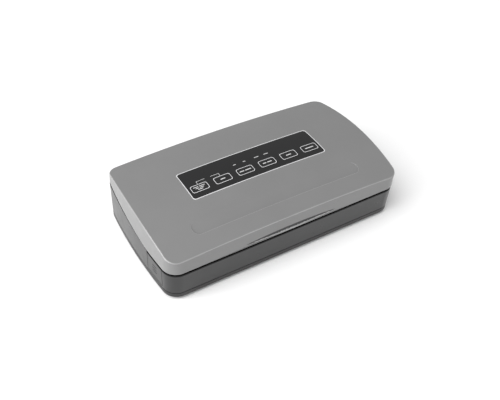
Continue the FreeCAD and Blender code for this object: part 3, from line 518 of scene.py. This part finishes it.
def printed_mesh(name, strips, surface, finish, body):
    """Ink on a surface. Each strip is a list of point pairs; a closed strip ends with its first pair."""
    mesh = bmesh.new()
    for strip in strips:
        rows = []
        for pair in strip:
            heights = [height_on(surface, x, y) for x, y in pair]
            known = max(z for z in heights if z is not None)
            rows.append([(x, y, known if z is None else z) for (x, y), z in zip(pair, heights)])
        top_rows = []
        for row in rows:
            top = [mesh.verts.new((x, y, z + INK)) for x, y, z in row]
            low = [mesh.verts.new((x, y, z - INK / 2)) for x, y, z in row]
            top_rows.append((top, low))
        for (top_a, low_a), (top_b, low_b) in zip(top_rows, top_rows[1:]):
            mesh.faces.new((top_a[0], top_a[1], top_b[1], top_b[0]))
            mesh.faces.new((low_a[0], low_b[0], low_b[1], low_a[1]))
            mesh.faces.new((top_a[0], top_b[0], low_b[0], low_a[0]))
            mesh.faces.new((top_a[1], low_a[1], low_b[1], top_b[1]))
        closed = strip[0] == strip[-1]
        if not closed:
            for top, low in (top_rows[0], top_rows[-1]):
                mesh.faces.new((top[0], low[0], low[1], top[1]))
    bmesh.ops.remove_doubles(mesh, verts=mesh.verts, dist=SAME_PLACE)
    bmesh.ops.recalc_face_normals(mesh, faces=mesh.faces)
    piece = new_object(name, mesh, finish)
    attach(piece, body)


def ring_strip(cx, cy, length, depth, radius, width):
    """Outline of nearly constant width, as pairs of inner and outer points."""
    outer = divided(rounded_loop(cx, cy, length, depth, radius), PRINT_SPACING)
    scale_x = (length - 2 * width) / length
    scale_y = (depth - 2 * width) / depth
    inner = [(cx + (x - cx) * scale_x, cy + (y - cy) * scale_y) for x, y in outer]
    pairs = list(zip(inner, outer))
    return pairs + pairs[:1]


def bar_strip(cx, cy, length, width):
    """Short straight dash along X with rounded ends."""
    half = width / 2
    pairs = []
    for step in range(DASH_END_STEPS + 1):
        angle = math.pi / 2 * step / DASH_END_STEPS
        x = cx - length / 2 + half * (1 - math.cos(angle))
        reach = max(half * math.sin(angle), half * DASH_END_REACH)
        pairs.append(((x, cy - reach), (x, cy + reach)))
    mirrored = [((2 * cx - a[0], a[1]), (2 * cx - b[0], b[1])) for a, b in reversed(pairs)]
    return pairs + mirrored


def line_strip(points, width):
    """Open line through a few points, mitred at its right-angled turns."""
    pairs = []
    for index, (x, y) in enumerate(points):
        before = points[max(0, index - 1)]
        after = points[min(len(points) - 1, index + 1)]
        if 0 < index < len(points) - 1:
            way_in = Vector((x - before[0], y - before[1])).normalized()
            way_out = Vector((after[0] - x, after[1] - y)).normalized()
            side = (Vector((-way_in.y, way_in.x)) + Vector((-way_out.y, way_out.x))) * width / 2
        else:
            way = Vector((after[0] - before[0], after[1] - before[1])).normalized()
            side = Vector((-way.y, way.x)) * width / 2
        pairs.append(((x - side.x, y - side.y), (x + side.x, y + side.y)))
    return pairs


def word_strips(cx, cy, words, width):
    """One line of print as dashes, centred on a point."""
    total = sum(words) * MM + WORD_GAP * (len(words) - 1)
    x = cx - total / 2
    strips = []
    for word in words:
        strips.append(bar_strip(x + word * MM / 2, cy, word * MM, width))
        x += word * MM + WORD_GAP
    return strips


def key_graphics(node_name):
    """Outline and legend of one key. Returns the middle of the key's back edge."""
    low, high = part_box(node_name)
    cx = (low[0] + high[0]) / 2
    cy = (low[1] + high[1]) / 2
    length = high[0] - low[0] - 2 * KEY_FLANGE
    depth = high[1] - low[1] - 2 * KEY_FLANGE
    surface = tree_of(node_name)
    outline = ring_strip(cx, cy, length - KEY_OUTLINE_INSET, depth - KEY_OUTLINE_INSET,
                         KEY_OUTLINE_RADIUS, KEY_OUTLINE_WIDTH)
    printed_mesh(node_name + "_outline", [outline], surface, silver_ink, node_name)
    lines = LEGENDS[node_name]
    width = DASH_WIDTH if len(lines) == 1 else NARROW_DASH
    strips = []
    for row, words in enumerate(lines):
        y = cy + ((len(lines) - 1) / 2 - row) * LINE_PITCH
        strips += word_strips(cx, y, words, width)
    printed_mesh(node_name + "_legend", strips, surface, pale_ink, node_name)
    return cx, cy + depth / 2


def panel_graphics():
    """Border, brackets and labels of the panel film, and the print of its six keys."""
    low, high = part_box("panel_overlay")
    surface = tree_of("panel_overlay")
    cx = (low[0] + high[0]) / 2
    cy = (low[1] + high[1]) / 2
    border = ring_strip(cx, cy, high[0] - low[0] - BORDER_INSET, high[1] - low[1] - BORDER_INSET,
                        PANEL_CORNER, BORDER_WIDTH)
    printed_mesh("panel_border", [border], surface, silver_ink, "lid")
    places = [key_graphics(node_name) for node_name in LEGENDS]
    strips = []
    for (key_x, back), side in zip(places[:2], (1, -1)):
        line_y = back + BRACKET_RISE
        near = key_x + side * BRACKET_ASIDE
        far = near + side * BRACKET_LENGTH
        strips.append(line_strip([(near, back + BRACKET_GAP), (near, line_y), (far, line_y)], BRACKET_WIDTH))
    for (key_x, back), word in zip(places[2:4], LABEL_WORDS):
        for side in (-1, 1):
            strips += word_strips(key_x + side * LABEL_SPREAD, back + LABEL_RISE, [word], NARROW_DASH)
    printed_mesh("panel_labels", strips, surface, pale_ink, "lid")


def make_rating_label():
    """Blank foil label under the base."""
    outline_loop = rounded_loop(LABEL_X, LABEL_Y, LABEL_LENGTH, LABEL_DEPTH, LABEL_CORNER)
    mesh = bmesh.new()
    for z in (COVER_UNDERSIDE_Z, COVER_UNDERSIDE_Z - LABEL_THICKNESS):
        mesh.faces.new([mesh.verts.new((x, y, z)) for x, y in outline_loop])
    upper, lower = mesh.faces
    for side in range(len(outline_loop)):
        after = (side + 1) % len(outline_loop)
        mesh.faces.new((upper.verts[side], upper.verts[after], lower.verts[after], lower.verts[side]))
    bmesh.ops.recalc_face_normals(mesh, faces=mesh.faces)
    label = new_object("rating_label", mesh, label_foil)
    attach(label, "base")


panel_graphics()
make_rating_label()


# ---------------------------------------------------------------- floor, light, camera
def make_floor():
    """Plain white floor, just under the feet."""
    material, tree, shader = new_material("floor_white")
    whites = shade_mix(tree, noise(tree, 3.0), (0.9, 0.9, 0.9), (0.92, 0.92, 0.92))
    tree.links.new(whites, shader.inputs["Base Color"])
    shader.inputs["Roughness"].default_value = 0.9
    shader.inputs["Specular IOR Level"].default_value = 0.1
    mesh = bmesh.new()
    corners = ((-1, -1), (1, -1), (1, 1), (-1, 1))
    mesh.faces.new([mesh.verts.new((x * FLOOR_HALF, y * FLOOR_HALF, FLOOR_Z)) for x, y in corners])
    floor = new_object("floor", mesh, material)


def place_lamp(name, data, location, forward):
    """Puts a lamp in the scene so that it shines along forward."""
    lamp = bpy.data.objects.new(name, data)
    lamp.location = location
    lamp.rotation_euler = forward.to_track_quat("-Z", "Y").to_euler()
    bpy.context.scene.collection.objects.link(lamp)


def area_light(name, location, size_x, size_y, power):
    """Rectangular light that looks at the object."""
    data = bpy.data.lights.new(name, "AREA")
    data.shape = "RECTANGLE"
    data.size = size_x
    data.size_y = size_y
    data.energy = power
    place_lamp(name, data, location, Vector(AIM) - Vector(location))


def sun_light(name, direction, strength, angle):
    """Wide even light from one side of the sky; direction points from the object to the light."""
    data = bpy.data.lights.new(name, "SUN")
    data.energy = strength
    data.angle = math.radians(angle)
    place_lamp(name, data, Vector(direction) * SUN_DISTANCE, -Vector(direction))


def make_light():
    """Soft key from the upper left, a softbox on the left and a small light for the front edges."""
    sun_light("key_light", KEY_DIRECTION, KEY_STRENGTH, KEY_ANGLE)
    area_light("left_softbox", (-1.3, 0.1, 0.55), 1.0, 0.7, 10)
    area_light("edge_light", (0.56, -0.98, 1.1), 0.25, 0.25, 2)
    world = bpy.data.worlds.new("studio")
    world.use_nodes = True
    sky = world.node_tree.nodes["Background"]
    sky.inputs["Color"].default_value = (1.0, 1.0, 1.0, 1.0)
    sky.inputs["Strength"].default_value = WORLD_STRENGTH
    bpy.context.scene.world = world
    bpy.context.scene.view_settings.view_transform = "Standard"


def make_camera():
    """Camera fitted to the photo; the lens shift stands for the photo's off-centre cut."""
    data = bpy.data.cameras.new("camera")
    data.sensor_width = 36.0
    data.lens = CAMERA_LENS
    data.shift_x, data.shift_y = CAMERA_SHIFT
    data.clip_start = 0.01
    data.clip_end = 50.0
    camera = bpy.data.objects.new("camera", data)
    camera.location = CAMERA_PLACE
    level = math.cos(CAMERA_ELEVATION)
    forward = Vector((math.sin(CAMERA_AZIMUTH) * level, math.cos(CAMERA_AZIMUTH) * level,
                      -math.sin(CAMERA_ELEVATION)))
    camera.rotation_euler = forward.to_track_quat("-Z", "Y").to_euler()
    bpy.context.scene.collection.objects.link(camera)
    bpy.context.scene.camera = camera


make_floor()
make_light()
make_camera()
